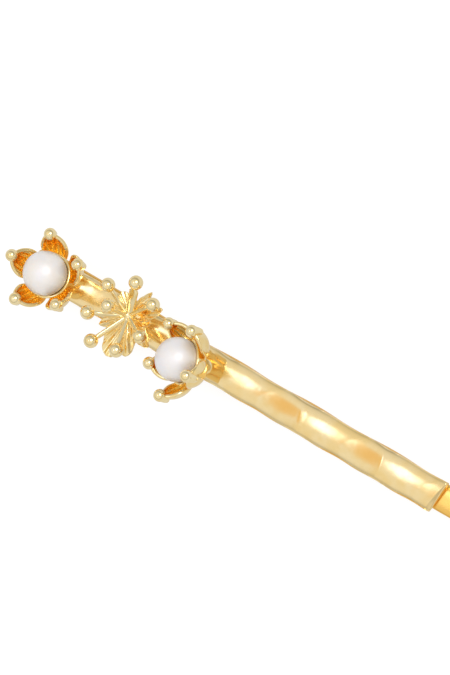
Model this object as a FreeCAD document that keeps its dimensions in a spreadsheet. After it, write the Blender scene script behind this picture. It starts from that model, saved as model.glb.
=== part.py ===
"""A sprung hair pin: a folded strip whose hammered front leg carries two pearl flowers and a stamen star.

Millimetres. +X runs along the pin towards its open end, +Z out of the hammered face, and the origin is under
the middle of the bend, in the plane that the back leg rests on.
"""
import FreeCAD
import Part
import math
import os

from FreeCAD import Placement, Rotation, Vector

SIZES = {
    # strip that the clip is folded from
    "strip_thickness": 0.9,
    "back_width": 2.5,
    "front_width": 2.85,
    "front_end_width": 3.05,
    "front_length": 43.4,
    "back_reach": 7.0,        # how far the back leg passes the front leg's end
    "leg_gap": 1.4,           # between the legs at the bend
    "land_length": 12.0,      # flat stretch of the back leg beside the bend
    "wave_pitch": 8.0,        # as near as a whole number of waves allows
    "leg_clearance": 0.1,     # under the front leg at each crest
    "tip_lead": 2.0,          # level stretch past the front leg's end
    "tip_corner": 1.15,
    "edge_round": 0.3,
    "flare_length": 3.0,      # over which the front leg widens from the bend
    "end_bevel": 0.35,
    # hammer marks across the front leg
    "mark_radius": 20.0,
    "mark_depth": 0.1,
    "mark_pitch": 4.25,
    "mark_start": 22.0,
    # pearl flowers
    "pearl_radius": 2.0,
    "glue_gap": 0.03,
    "cup_wall": 0.25,
    "cup_rim_drop": 0.8,     # rim below the pearl's middle
    "peg_radius": 0.4,
    "peg_depth": 1.9,         # of peg inside the pearl
    "drill_run": 1.0,         # of drill left outside the pearl
    "foot_radius": 0.62,
    "petal_seat": 1.35,       # from the flower's axis to where a petal leaves the cup
    "petal_arc": 2.1,
    "petal_wall": 0.32,
    "petal_half_width": 1.58,
    "petal_blank_turn": 65.0,  # of the turned band, before the oval trims it
    "petal_root_angle": -98.0,  # round the petal's arc, under the cup
    "petal_blank_top": 30.0,
    "petal_root_spare": 0.04,  # of the petal's oval outline under its lowest point
    "petal_count": 5,
    "bead_radius": 0.58,
    "bead_angle": 15.0,       # round the petal's arc, up from level
    "bead_lift": 0.08,        # of the bead's middle outside the petal's arc
    "tip_over_bead": 0.13,    # petal tip above the bead's middle
    # end flower: middle of its pearl past the bend and across the pin, its gap to the face, and its lean
    "end_along": 1.75,
    "end_across": 0.23,
    "end_standoff": 0.18,
    "end_lean_along": -2.2,
    "end_lean_across": 10.7,
    "end_spin": 38.5,
    # inner flower
    "inner_along": 17.1,
    "inner_across": -0.43,
    "inner_standoff": 0.02,
    "inner_lean_along": -33.8,
    "inner_lean_across": -3.3,
    "inner_spin": 67.8,
    # stamen star
    "star_along": 10.35,
    "star_across": 0.45,
    "star_over": 1.4,
    "hub_radius": 0.8,
    "star_foot_radius": 0.9,
    "rosette_thickness": 0.35,
    "rosette_drop": 0.6,      # underside of the rosette below the hub's middle
    "rosette_middle_radius": 1.1,
    "lobe_half_width": 0.78,
    "stem_root_radius": 0.2,
    "stem_tip_radius": 0.28,
    "stamen_bead_radius": 0.66,
}

# Each stamen: turn about the star, rise over the face, hub's middle to bead's middle.
STAMENS = [
    (45, 23, 3.5),
    (92, 23, 3.55),
    (144, 24, 3.35),
    (168, 56, 2.5),
    (203, 22, 3.65),
    (245, 20, 4.0),
    (288, 23, 3.45),
    (341, 27, 2.9),
]

# Each rosette lobe: turn about the star and reach from its middle.
LOBES = [(37, 3.4), (70, 3.1), (135, 2.3), (180, 2.2), (221, 3.1), (265, 4.2), (299, 3.9), (329, 3.4)]

doc = FreeCAD.newDocument("hair_pin")
sheet = doc.addObject("Spreadsheet::Sheet", "Sizes")
for row, (alias, value) in enumerate(SIZES.items(), start=1):
    sheet.set(f"A{row}", alias)
    sheet.set(f"B{row}", str(value))
    sheet.setAlias(f"B{row}", alias)
doc.recompute()


def size(alias):
    """The sheet's value, in millimetres or degrees."""
    return float(getattr(sheet, alias))


def bind(thing, **formulas):
    for prop, formula in formulas.items():
        thing.setExpression(prop, formula)
    return thing


def primitive(kind, name, place=None, **formulas):
    """A Part primitive with its sizes bound to the sheet."""
    thing = bind(doc.addObject(f"Part::{kind}", name), **formulas)
    if place is not None:
        thing.Placement = place
    return thing


def cut(name, base, tool):
    made = doc.addObject("Part::Cut", name)
    made.Base, made.Tool = base, tool
    return made


def fuse(name, shapes):
    made = doc.addObject("Part::MultiFuse", name)
    made.Shapes = shapes
    return made


def body(name):
    made = doc.addObject("PartDesign::Body", name)
    made.Label = name
    return made


def plane(owner, role):
    return next(f for f in owner.Origin.OriginFeatures if f.Role == role)


def sketch(owner, name, role, edges):
    """A sketch on one of the body's own planes, holding lines, arcs and circles."""
    made = owner.newObject("Sketcher::SketchObject", name)
    made.AttachmentSupport = [(plane(owner, role), "")]
    made.MapMode = "FlatFace"
    for edge in edges:
        made.addGeometry(edge, False)
    return made


def feature(owner, kind, name, profile, **formulas):
    made = owner.newObject(f"PartDesign::{kind}", name)
    made.Profile = profile
    return bind(made, **formulas)


def line(a, b):
    return Part.LineSegment(Vector(*a, 0), Vector(*b, 0))


def circle(centre, radius):
    return Part.Circle(Vector(*centre, 0), Vector(0, 0, 1), radius)


def arc(centre, radius, start, end):
    """An arc in a sketch's plane, its angles in degrees, counterclockwise."""
    return Part.ArcOfCircle(circle(centre, radius), math.radians(start), math.radians(end))


def closed(points):
    return [line(points[i - 1], points[i]) for i in range(len(points))]


def polar(centre, radius, angle):
    a = math.radians(angle)
    return (centre[0] + radius * math.cos(a), centre[1] + radius * math.sin(a))


# Places that several pieces share.
THICKNESS = size("strip_thickness")
FRONT_UNDER = THICKNESS + size("leg_gap")
FACE = FRONT_UNDER + THICKNESS
BEND_Z = THICKNESS + size("leg_gap") / 2
FRONT_END_X = size("front_length")


def back_route():
    """Middle line of the back leg, seen from the side: land, waves, then the level lead and the tip."""
    low = THICKNESS / 2
    high = FRONT_UNDER - size("leg_clearance") - THICKNESS / 2
    first = size("land_length")
    waved = FRONT_END_X - size("tip_lead") - first
    half_waves = 2 * round(waved / size("wave_pitch") - 0.5) + 1
    points = [(0, low), (first, low)]
    for i in range(1, half_waves + 1):
        points.append((first + i * waved / half_waves, high if i % 2 else low))
    points.append((FRONT_END_X + size("tip_lead"), high))
    points.append((FRONT_END_X + size("back_reach"), low))
    return points


def rounded_band(points, half):
    """Outline of a strip of that half thickness along a polyline whose corners are tangent arcs."""
    share = 0.45
    sides = {1: [], -1: []}
    runs = [(Vector(*b, 0) - Vector(*a, 0)) for a, b in zip(points, points[1:])]
    cursor = {s: None for s in sides}
    first = {}
    for side in sides:
        d = Vector(runs[0]).normalize()
        n = Vector(-d.y, d.x, 0) * (half * side)
        cursor[side] = Vector(*points[0], 0) + n
        first[side] = Vector(cursor[side])
    for before, after, corner in zip(runs, runs[1:], points[1:-1]):
        d1, d2 = Vector(before).normalize(), Vector(after).normalize()
        turn = math.atan2(d1.x * d2.y - d1.y * d2.x, d1.dot(d2))
        setback = share * min(before.Length, after.Length)
        radius = setback / math.tan(abs(turn) / 2)
        start = Vector(*corner, 0) - d1 * setback
        way = 1 if turn > 0 else -1
        centre = start + Vector(-d1.y, d1.x, 0) * (radius * way)
        for side in sides:
            r = radius - half * side * way
            from_centre = (start - centre).normalize()
            a1 = math.degrees(math.atan2(from_centre.y, from_centre.x))
            a2 = a1 + math.degrees(turn)
            p1 = centre + from_centre * r
            p2 = Vector(*polar((centre.x, centre.y), r, a2), 0)
            sides[side].append(Part.LineSegment(cursor[side], p1))
            low, up = (a1, a2) if turn > 0 else (a2, a1)
            sides[side].append(arc((centre.x, centre.y), r, low, up))
            cursor[side] = p2
    d = Vector(runs[-1]).normalize()
    for side in sides:
        end = Vector(*points[-1], 0) + Vector(-d.y, d.x, 0) * (half * side)
        sides[side].append(Part.LineSegment(cursor[side], end))
        cursor[side] = end
    caps = [Part.LineSegment(first[1], first[-1]), Part.LineSegment(cursor[1], cursor[-1])]
    return sides[1] + sides[-1] + caps


def fillet(owner, name, under, edges, **formulas):
    made = owner.newObject("PartDesign::Fillet", name)
    made.Base = (under, [f"Edge{i}" for i in edges])
    return bind(made, **formulas)


def edges_where(shape, test):
    """Numbers, from 1, of the edges whose two ends pass the test."""
    found = []
    for i, edge in enumerate(shape.Edges, start=1):
        ends = [v.Point for v in edge.Vertexes]
        if len(ends) == 2 and test(*ends):
            found.append(i)
    return found


def make_back_leg():
    leg = body("back_leg")
    side = sketch(leg, "back_side", "XZ_Plane", rounded_band(back_route(), THICKNESS / 2))
    pad = feature(leg, "Pad", "back_pad", side, Length="Sizes.back_width")
    pad.Midplane = True
    doc.recompute()
    tip_x = max(v.X for v in pad.Shape.Vertexes)
    near = 1.05 * THICKNESS
    corners = edges_where(
        pad.Shape,
        lambda a, b: min(a.x, b.x) > tip_x - near and abs(a.y - b.y) < 1e-6 and a.distanceToPoint(b) < near,
    )
    leg.Tip = fillet(leg, "back_tip", pad, corners, Radius="Sizes.tip_corner")
    return leg


def make_bend():
    bend = body("bend")
    inner, centre = size("leg_gap") / 2, (0, BEND_Z)
    outer = inner + THICKNESS
    ring = [arc(centre, r, 90, 270) for r in (inner, outer)]
    ends = [line(polar(centre, inner, a), polar(centre, outer, a)) for a in (90, 270)]
    side = sketch(bend, "bend_side", "XZ_Plane", ring + ends)
    pad = feature(bend, "Pad", "bend_pad", side, Length="Sizes.back_width")
    pad.Midplane = True
    return bend


def make_front_leg():
    leg = body("front_leg")
    root, near, far = size("back_width") / 2, size("front_width") / 2, size("front_end_width") / 2
    flare_x, bevel = size("flare_length"), size("end_bevel")
    outline = closed(
        [
            (0, -root),
            (flare_x, -near),
            (FRONT_END_X - bevel, -far),
            (FRONT_END_X, -far + bevel),
            (FRONT_END_X, far - bevel / 2),
            (FRONT_END_X - bevel / 2, far),
            (flare_x, near),
            (0, root),
        ]
    )
    plan = sketch(leg, "front_plan", "XY_Plane", outline)
    plan.AttachmentOffset = Placement(Vector(0, 0, FRONT_UNDER), Rotation())
    pad = feature(leg, "Pad", "front_pad", plan, Length="Sizes.strip_thickness")
    doc.recompute()
    long_edges = edges_where(
        pad.Shape,
        lambda a, b: abs(a.z - FACE) < 1e-6 and abs(b.z - FACE) < 1e-6 and abs(a.x - b.x) > 2 * bevel,
    )
    soft = fillet(leg, "front_edges", pad, long_edges, Radius="Sizes.edge_round")
    radius = size("mark_radius")
    middle = (size("mark_start"), FACE + radius - size("mark_depth"))
    scoop = sketch(leg, "mark_side", "XZ_Plane", [circle(middle, radius)])
    mark = feature(leg, "Pocket", "hammer_mark", scoop)
    mark.Midplane, mark.Type = True, 1
    doc.recompute()
    row = leg.newObject("PartDesign::LinearPattern", "hammer_marks")
    row.Originals = [mark]
    row.Direction = (scoop, ["H_Axis"])
    steps = "floor((Sizes.front_length - Sizes.mark_start) / Sizes.mark_pitch)"
    bind(row, Length=f"Sizes.mark_pitch * {steps}", Occurrences=f"{steps} + 1")
    leg.Tip = row
    if soft.Shape.Volume >= pad.Shape.Volume:
        raise RuntimeError("the front leg's edges were not rounded")
    return leg


def cup_outer():
    return size("pearl_radius") + size("glue_gap") + size("cup_wall")


def petal_centre():
    """Centre of a petal's arc: from the flower's axis, and above the pearl's middle."""
    seat = size("petal_seat")
    depth = math.sqrt(cup_outer() ** 2 - seat**2) + size("petal_wall") / 2
    return (seat, size("petal_arc") - depth)


def bead_spot():
    """Middle of a petal's bead: from the flower's axis, and above the pearl's middle."""
    return polar(petal_centre(), size("petal_arc") + size("bead_lift"), size("bead_angle"))


def flower_place(name):
    """Frame of a pearl flower: origin at the pearl's middle, +Z out along the flower's axis."""
    along = math.tan(math.radians(size(f"{name}_lean_along")))
    across = math.tan(math.radians(size(f"{name}_lean_across")))
    axis = Vector(along, across, 1).normalize()
    lean = Rotation(Vector(0, 0, 1), axis)
    spin = Rotation(Vector(0, 0, 1), size(f"{name}_spin"))
    # the leaning ring of petals, or the cup, is what comes nearest to the face
    seat, rise = petal_centre()
    petal_depth = math.sqrt(1 - axis.z**2) * seat - axis.z * rise + size("petal_arc") + size("petal_wall") / 2
    over = max(petal_depth, cup_outer()) + size(f"{name}_standoff")
    middle = Vector(size(f"{name}_along"), size(f"{name}_across"), FACE + over)
    return Placement(middle, lean * spin)


def petal_turn(place, index):
    turn = Rotation(Vector(0, 0, 1), 360 * index / size("petal_count"))
    return place * Placement(Vector(), turn)


def make_cup(name, place):
    """Open bezel cup, a spherical bowl with a hole for the peg in its floor."""
    cup = body(f"{name}_cup")
    inner, outer = size("pearl_radius") + size("glue_gap"), cup_outer()
    hole, rim = size("peg_radius"), -size("cup_rim_drop")
    angle = {
        r: (math.degrees(math.asin(rim / r)), -math.degrees(math.acos(hole / r))) for r in (inner, outer)
    }
    arcs = [arc((0, 0), r, angle[r][1], angle[r][0]) for r in (inner, outer)]
    ends = [line(*(polar((0, 0), r, angle[r][i]) for r in (inner, outer))) for i in (0, 1)]
    wall = sketch(cup, f"{name}_cup_wall", "XZ_Plane", arcs + ends)
    turned = feature(cup, "Revolution", f"{name}_cup_turned", wall)
    turned.ReferenceAxis = (wall, ["V_Axis"])
    cup.Placement = place
    return cup


def make_pearl(name, place):
    """Pearl with a blind hole drilled up from its underside."""
    ball = primitive("Sphere", f"{name}_ball", place, Radius="Sizes.pearl_radius")
    under = place * Placement(Vector(0, 0, -size("pearl_radius") - size("drill_run")), Rotation())
    drill = primitive(
        "Cylinder",
        f"{name}_drill",
        under,
        Radius="Sizes.peg_radius",
        Height="Sizes.peg_depth + Sizes.drill_run",
    )
    return cut(f"{name}_pearl", ball, drill)


def make_peg(name, place):
    """Post through the cup's floor that the pearl is glued on."""
    low = place * Placement(Vector(0, 0, -cup_outer()), Rotation())
    height = "Sizes.peg_depth + Sizes.glue_gap + Sizes.cup_wall"
    rod = primitive("Cylinder", f"{name}_peg_rod", low, Radius="Sizes.peg_radius", Height=height)
    bowl = primitive(
        "Sphere", f"{name}_peg_bowl", place, Radius="Sizes.pearl_radius + Sizes.glue_gap + Sizes.cup_wall"
    )
    made = doc.addObject("Part::Common", f"{name}_peg")
    made.Base, made.Tool = rod, bowl
    return made


def make_foot(name, place):
    """Short post that holds the cup off the hammered face, cut to the cup above and the face below."""
    reach = place.Base.z
    low = place * Placement(Vector(0, 0, -reach), Rotation())
    rod = primitive("Cylinder", f"{name}_foot_rod", low, Radius="Sizes.foot_radius")
    rod.Height = reach
    bowl = primitive(
        "Sphere", f"{name}_foot_bowl", place, Radius="Sizes.pearl_radius + Sizes.glue_gap + Sizes.cup_wall"
    )
    below = doc.addObject("Part::Box", f"{name}_foot_below")
    below.Length = below.Width = 4 * reach
    below.Height = FACE + reach
    below.Placement = Placement(Vector(place.Base.x - 2 * reach, -2 * reach, -reach), Rotation())
    return cut(f"{name}_foot", rod, fuse(f"{name}_foot_limits", [bowl, below]))


def make_petal(name, place, index):
    """Cupped petal: a turned band cut to an oval, resting on the cup and ending under its bead."""
    petal = body(f"{name}_petal_{index + 1}")
    tag = petal.Name
    centre, bead = petal_centre(), bead_spot()
    half = size("petal_wall") / 2
    radii = (size("petal_arc") - half, size("petal_arc") + half)
    low, high = size("petal_root_angle"), size("petal_blank_top")
    band = [arc(centre, r, low, high) for r in radii]
    ends = [line(polar(centre, radii[0], a), polar(centre, radii[1], a)) for a in (low, high)]
    profile = sketch(petal, f"{tag}_profile", "XZ_Plane", band + ends)
    turned = feature(petal, "Revolution", f"{tag}_turned", profile)
    turned.ReferenceAxis = (profile, ["V_Axis"])
    bind(turned, Angle="Sizes.petal_blank_turn")
    turned.Midplane = True
    top = bead[1] + size("tip_over_bead")
    bottom = centre[1] - radii[1] - size("petal_root_spare")
    wide, tall, middle = size("petal_half_width"), (top - bottom) / 2, (top + bottom) / 2
    ends = [Vector(0, middle + tall, 0), Vector(wide, middle, 0)]
    if wide > tall:
        ends.reverse()
    oval = Part.Ellipse(*ends, Vector(0, middle, 0))
    box = 4 * (wide + tall)
    edges = closed([(-box, -box), (box, -box), (box, box), (-box, box)]) + [oval]
    outline = sketch(petal, f"{tag}_outline", "YZ_Plane", edges)
    trimmed = feature(petal, "Pocket", f"{tag}_trimmed", outline)
    trimmed.Midplane, trimmed.Type = True, 1
    seat = petal.newObject("PartDesign::SubtractiveSphere", f"{tag}_seat")
    bind(seat, Radius="Sizes.pearl_radius + Sizes.glue_gap + Sizes.cup_wall")
    socket = petal.newObject("PartDesign::SubtractiveSphere", f"{tag}_socket")
    bind(socket, Radius="Sizes.bead_radius")
    # turned half round, so that its seam faces away from the petal
    socket.Placement = Placement(Vector(bead[0], 0, bead[1]), Rotation(180, 0, 0))
    petal.Tip = socket
    petal.Placement = petal_turn(place, index)
    return petal


def make_beads(name, place):
    out, up = bead_spot()
    beads = []
    for index in range(int(size("petal_count"))):
        at = petal_turn(place, index) * Placement(Vector(out, 0, up), Rotation())
        beads.append(primitive("Sphere", f"{name}_bead_{index + 1}", at, Radius="Sizes.bead_radius"))
    group = doc.addObject("Part::Compound", f"{name}_beads")
    group.Links = beads
    return group


def make_flower(name):
    place = flower_place(name)
    pieces = [make(name, place) for make in (make_foot, make_cup, make_peg, make_pearl, make_beads)]
    return pieces + [make_petal(name, place, i) for i in range(int(size("petal_count")))]


def star_middle():
    return Vector(size("star_along"), size("star_across"), FACE + size("star_over"))


def hub_ball(name):
    return primitive("Sphere", name, Placement(star_middle(), Rotation()), Radius="Sizes.hub_radius")


def make_star_foot():
    middle = star_middle()
    at = Placement(Vector(middle.x, middle.y, FACE), Rotation())
    rod = primitive("Cylinder", "star_foot_rod", at, Radius="Sizes.star_foot_radius")
    bind(rod, Height="Sizes.star_over - Sizes.rosette_drop")
    return cut("star_foot", rod, hub_ball("star_foot_hub"))


def make_rosette():
    """Sheet of pointed lobes round the hub. Each lobe is a lens of two arcs."""
    rosette = body("star_rosette")
    wide = size("lobe_half_width")
    for i, (turn, reach) in enumerate(LOBES, start=1):
        radius = (reach**2 / 4 + wide**2) / (2 * wide)
        half_angle = math.degrees(math.asin(reach / 2 / radius))
        edges = []
        for side in (1, -1):
            centre = polar(polar((0, 0), reach / 2, turn), radius - wide, turn + 90 * side)
            facing = turn - 90 * side
            edges.append(arc(centre, radius, facing - half_angle, facing + half_angle))
        lens = sketch(rosette, f"lobe_{i}", "XY_Plane", edges)
        feature(rosette, "Pad", f"lobe_pad_{i}", lens, Length="Sizes.rosette_thickness")
    disc = sketch(rosette, "rosette_middle", "XY_Plane", [circle((0, 0), size("rosette_middle_radius"))])
    feature(rosette, "Pad", "rosette_disc", disc, Length="Sizes.rosette_thickness")
    seat = rosette.newObject("PartDesign::SubtractiveSphere", "rosette_seat")
    bind(seat, Radius="Sizes.hub_radius")
    seat.Placement = Placement(Vector(0, 0, size("rosette_drop")), Rotation())
    rosette.Tip = seat
    middle = star_middle()
    rosette.Placement = Placement(middle - Vector(0, 0, size("rosette_drop")), Rotation())
    return rosette


def make_stamen(index, turn, rise, length):
    """Balled wire: a stem that swells towards its bead, soldered to the hub."""
    flat = Vector(math.cos(math.radians(turn)), math.sin(math.radians(turn)), 0)
    way = flat * math.cos(math.radians(rise)) + Vector(0, 0, math.sin(math.radians(rise)))
    at = Placement(star_middle(), Rotation(Vector(0, 0, 1), way))
    name = f"star_stamen_{index}"
    stem = primitive(
        "Cone", f"{name}_stem", at, Radius1="Sizes.stem_root_radius", Radius2="Sizes.stem_tip_radius"
    )
    stem.Height = length
    end = Placement(star_middle() + way * length, Rotation())
    bead = primitive("Sphere", f"{name}_bead", end, Radius="Sizes.stamen_bead_radius")
    return cut(name, fuse(f"{name}_wire", [stem, bead]), hub_ball(f"{name}_hub"))


def make_star():
    hub = hub_ball("star_hub")
    stamens = [make_stamen(i, *values) for i, values in enumerate(STAMENS, start=1)]
    return [make_star_foot(), make_rosette(), hub] + stamens


parts = [make_back_leg(), make_bend(), make_front_leg()]
parts += make_flower("end") + make_flower("inner") + make_star()
for part in parts:
    part.Label = part.Name
doc.recompute()

failed = [o.Name for o in doc.Objects if "Invalid" in o.State or "Error" in o.State]
if failed:
    raise RuntimeError(f"these objects did not recompute: {failed}")
for part in parts:
    shape = part.Shape
    if shape.isNull() or not shape.isValid() or not shape.Solids:
        raise RuntimeError(f"{part.Label} has no valid shape")

os.makedirs("parts", exist_ok=True)
for part in parts:
    part.Shape.exportStep(os.path.join("parts", f"{part.Label}.step"))
    solids = len(part.Shape.Solids)
    print(f"{part.Label}: {solids} solid(s), {part.Shape.Volume:.3f} mm3")
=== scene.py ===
import math
import bpy
import bmesh
import numpy as np
from mathutils import Matrix, Vector
from mathutils.bvhtree import BVHTree


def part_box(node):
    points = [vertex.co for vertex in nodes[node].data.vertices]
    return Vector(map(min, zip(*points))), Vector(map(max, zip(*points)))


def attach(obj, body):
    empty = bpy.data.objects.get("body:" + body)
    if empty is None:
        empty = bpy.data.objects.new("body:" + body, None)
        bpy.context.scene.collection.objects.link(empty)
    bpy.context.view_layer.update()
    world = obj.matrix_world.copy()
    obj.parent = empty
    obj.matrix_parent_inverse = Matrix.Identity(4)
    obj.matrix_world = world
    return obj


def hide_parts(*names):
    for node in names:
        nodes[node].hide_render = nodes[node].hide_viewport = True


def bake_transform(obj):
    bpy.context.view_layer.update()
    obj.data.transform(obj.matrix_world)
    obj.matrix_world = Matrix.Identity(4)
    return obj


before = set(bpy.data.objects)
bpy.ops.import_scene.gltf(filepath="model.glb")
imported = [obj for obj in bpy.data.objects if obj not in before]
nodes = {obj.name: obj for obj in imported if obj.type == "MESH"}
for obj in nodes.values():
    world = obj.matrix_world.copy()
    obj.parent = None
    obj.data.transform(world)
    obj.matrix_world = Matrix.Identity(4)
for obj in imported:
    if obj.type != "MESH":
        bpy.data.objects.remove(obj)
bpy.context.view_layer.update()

mm = 0.001
scene = bpy.context.scene
rng = np.random.default_rng(11)

# every shape is worked out in millimetres and brought to the frame's metres by finishPiece


def smooth(low, high, value):
    # eased 0 to 1 between two values
    t = np.clip((np.asarray(value, float) - low) / (high - low), 0, 1)
    return t * t * (3 - 2 * t)


def unit(vector):
    vector = np.asarray(vector, float)
    return vector / np.linalg.norm(vector)


def pointsOf(piece):
    return np.array([v.co for v in piece.data.vertices], float)


def placePoints(piece, points):
    piece.data.vertices.foreach_set("co", points.astype(np.float32).ravel())


def storeOnPoints(piece, name, values, kind="FLOAT"):
    attribute = piece.data.attributes.new(name, kind, "POINT")
    field = "vector" if kind == "FLOAT_VECTOR" else "value"
    attribute.data.foreach_set(field, np.concatenate(values).astype(np.float32))


def nodePoints(name):
    return pointsOf(nodes[name]) / mm


def nodeBox(name):
    return [np.array(corner, float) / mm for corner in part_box(name)]


def meshObject(name, points, faces, material=None):
    mesh = bpy.data.meshes.new(name)
    mesh.from_pydata([tuple(point) for point in points], [], faces)
    piece = bpy.data.objects.new(name, mesh)
    scene.collection.objects.link(piece)
    if material:
        mesh.materials.append(material)
    return piece


def ballObject(name, subdivisions):
    # an even ball of radius 1
    piece = meshObject(name, [], [])
    work = bmesh.new()
    bmesh.ops.create_icosphere(work, subdivisions=subdivisions, radius=1)
    work.to_mesh(piece.data)
    work.free()
    return piece


def cleanUp(piece, merge=1e-4):
    # doubles merged, faces outwards
    work = bmesh.new()
    work.from_mesh(piece.data)
    if merge:
        bmesh.ops.remove_doubles(work, verts=work.verts, dist=merge)
        bmesh.ops.dissolve_degenerate(work, edges=work.edges, dist=merge)
    bmesh.ops.recalc_face_normals(work, faces=work.faces)
    work.to_mesh(piece.data)
    work.free()
    return piece


def loftFaces(rows, count):
    # quads between rows of points, each row a closed loop of that many points, and a face at each end
    faces = []
    for i in range(rows - 1):
        for j in range(count):
            k = (j + 1) % count
            faces.append((i * count + j, i * count + k, (i + 1) * count + k, (i + 1) * count + j))
    last = (rows - 1) * count
    faces.append(tuple(range(count - 1, -1, -1)))
    faces.append(tuple(last + j for j in range(count)))
    return faces


def loopLoft(name, loops, material):
    faces = loftFaces(len(loops), len(loops[0]))
    return cleanUp(meshObject(name, np.concatenate(loops), faces, material))


def finishPiece(piece, body, slotName, *replaced, sharp=42):
    # to metres, shading that breaks at cut edges, then the frame's bookkeeping
    piece.data.transform(Matrix.Scale(mm, 4))
    piece.data.shade_smooth()
    piece.data.set_sharp_from_angle(angle=math.radians(sharp))
    if body:
        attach(piece, body)
    if replaced:
        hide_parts(*replaced)
    return piece


class Tree:
    # a thin hand on a node tree: add nodes, set their sockets, chain maths

    def __init__(self, tree):
        self.tree = tree

    def add(self, kind, inputs=None, **settings):
        node = self.tree.nodes.new(kind)
        for key, value in settings.items():
            setattr(node, key, value)
        for key, value in (inputs or {}).items():
            self.feed(node.inputs[key], value)
        return node

    def feed(self, socket, value):
        if isinstance(value, bpy.types.NodeSocket):
            self.tree.links.new(value, socket)
        else:
            socket.default_value = value

    def math(self, operation, *values):
        node = self.add("ShaderNodeMath", operation=operation)
        for socket, value in zip(node.inputs, values):
            self.feed(socket, value)
        return node.outputs[0]

    def times(self, a, b):
        return self.math("MULTIPLY", a, b)

    def plus(self, a, b):
        return self.math("ADD", a, b)

    def minus(self, a, b):
        return self.math("SUBTRACT", a, b)

    def over(self, a, b):
        return self.math("DIVIDE", a, b)

    def dot(self, a, b):
        node = self.add("ShaderNodeVectorMath", operation="DOT_PRODUCT")
        self.feed(node.inputs[0], a)
        self.feed(node.inputs[1], b)
        return node.outputs["Value"]

    def scaled(self, vector, factor):
        node = self.add("ShaderNodeVectorMath", operation="SCALE")
        self.feed(node.inputs[0], vector)
        self.feed(node.inputs["Scale"], factor)
        return node.outputs["Vector"]

    def combine(self, x, y, z):
        return self.add("ShaderNodeCombineXYZ", {"X": x, "Y": y, "Z": z}).outputs[0]

    def split(self, vector):
        return self.add("ShaderNodeSeparateXYZ", {"Vector": vector}).outputs

    def mix(self, factor, a, b):
        # blends two colours, whose sockets are the seventh and eighth
        node = self.add("ShaderNodeMix", data_type="RGBA")
        self.feed(node.inputs["Factor"], factor)
        self.feed(node.inputs[6], a)
        self.feed(node.inputs[7], b)
        return node.outputs[2]

    def span(self, value, fromLow, fromHigh, toLow, toHigh, ease="LINEAR"):
        node = self.add("ShaderNodeMapRange", {
            "Value": value, "From Min": fromLow, "From Max": fromHigh, "To Min": toLow, "To Max": toHigh,
        }, interpolation_type=ease)
        return node.outputs[0]

    def attribute(self, name):
        return self.add("GeometryNodeInputNamedAttribute", {"Name": name}).outputs[0]


def shapeTree(name, sizes):
    # an empty Geometry Nodes group with named inputs for its sizes
    group = bpy.data.node_groups.new(name, "GeometryNodeTree")
    group.interface.new_socket("Geometry", in_out="INPUT", socket_type="NodeSocketGeometry")
    for label, value in sizes.items():
        kind = "NodeSocketInt" if isinstance(value, int) else "NodeSocketFloat"
        group.interface.new_socket(label, in_out="INPUT", socket_type=kind).default_value = value
    group.interface.new_socket("Geometry", in_out="OUTPUT", socket_type="NodeSocketGeometry")
    tree = Tree(group)
    return tree, tree.add("NodeGroupInput").outputs


def deliver(tree, geometry, material, inlay=None):
    # the tree's end: instances realized, the finish set, and a second finish where the inlay field says so
    real = tree.add("GeometryNodeRealizeInstances", {"Geometry": geometry}).outputs[0]
    real = tree.add("GeometryNodeSetMaterial", {"Geometry": real, "Material": material}).outputs[0]
    if inlay:
        field, second = inlay
        real = tree.add("GeometryNodeSetMaterial", {
            "Geometry": real, "Selection": field, "Material": second}).outputs[0]
    tree.add("NodeGroupOutput", {"Geometry": real})


def settle(piece):
    # what the modifiers make becomes the piece's own plain mesh
    bpy.context.view_layer.update()
    result = bpy.data.meshes.new_from_object(piece.evaluated_get(bpy.context.evaluated_depsgraph_get()))
    piece.modifiers.clear()
    piece.data = result
    return piece


def grow(piece, tree, sizes):
    # runs a tree on a piece and keeps the result
    modifier = piece.modifiers.new("shape", "NODES")
    modifier.node_group = tree.tree
    for item in tree.tree.interface.items_tree:
        if item.item_type == "SOCKET" and item.in_out == "INPUT" and item.name in sizes:
            modifier[item.identifier] = sizes[item.name]
    return cleanUp(settle(piece))


def newMaterial(name):
    material = bpy.data.materials.new(name)
    material.use_nodes = True
    material.node_tree.nodes.clear()
    tree = Tree(material.node_tree)
    shader = tree.add("ShaderNodeBsdfPrincipled")
    tree.add("ShaderNodeOutputMaterial", {"Surface": shader.outputs[0]})
    place = tree.add("ShaderNodeTexCoord").outputs["Object"]
    return material, tree, shader, place


def noiseAt(tree, place, size, detail, stretch=(1, 1, 1)):
    # cloudy pattern whose patches are about size millimetres
    moved = tree.add("ShaderNodeMapping", {"Vector": place, "Scale": stretch}).outputs[0]
    noise = tree.add("ShaderNodeTexNoise", {"Vector": moved, "Scale": 1 / (size * mm), "Detail": detail})
    return noise.outputs[0]


def setSockets(shader, values):
    for name, value in values.items():
        shader.inputs[name].default_value = value


toneSpan = (0.35, 0.65)    # the noise values between which a finish goes from pale to deep
satinSpan = (0.3, 0.7)     # and from its smoothest to its roughest

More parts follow.
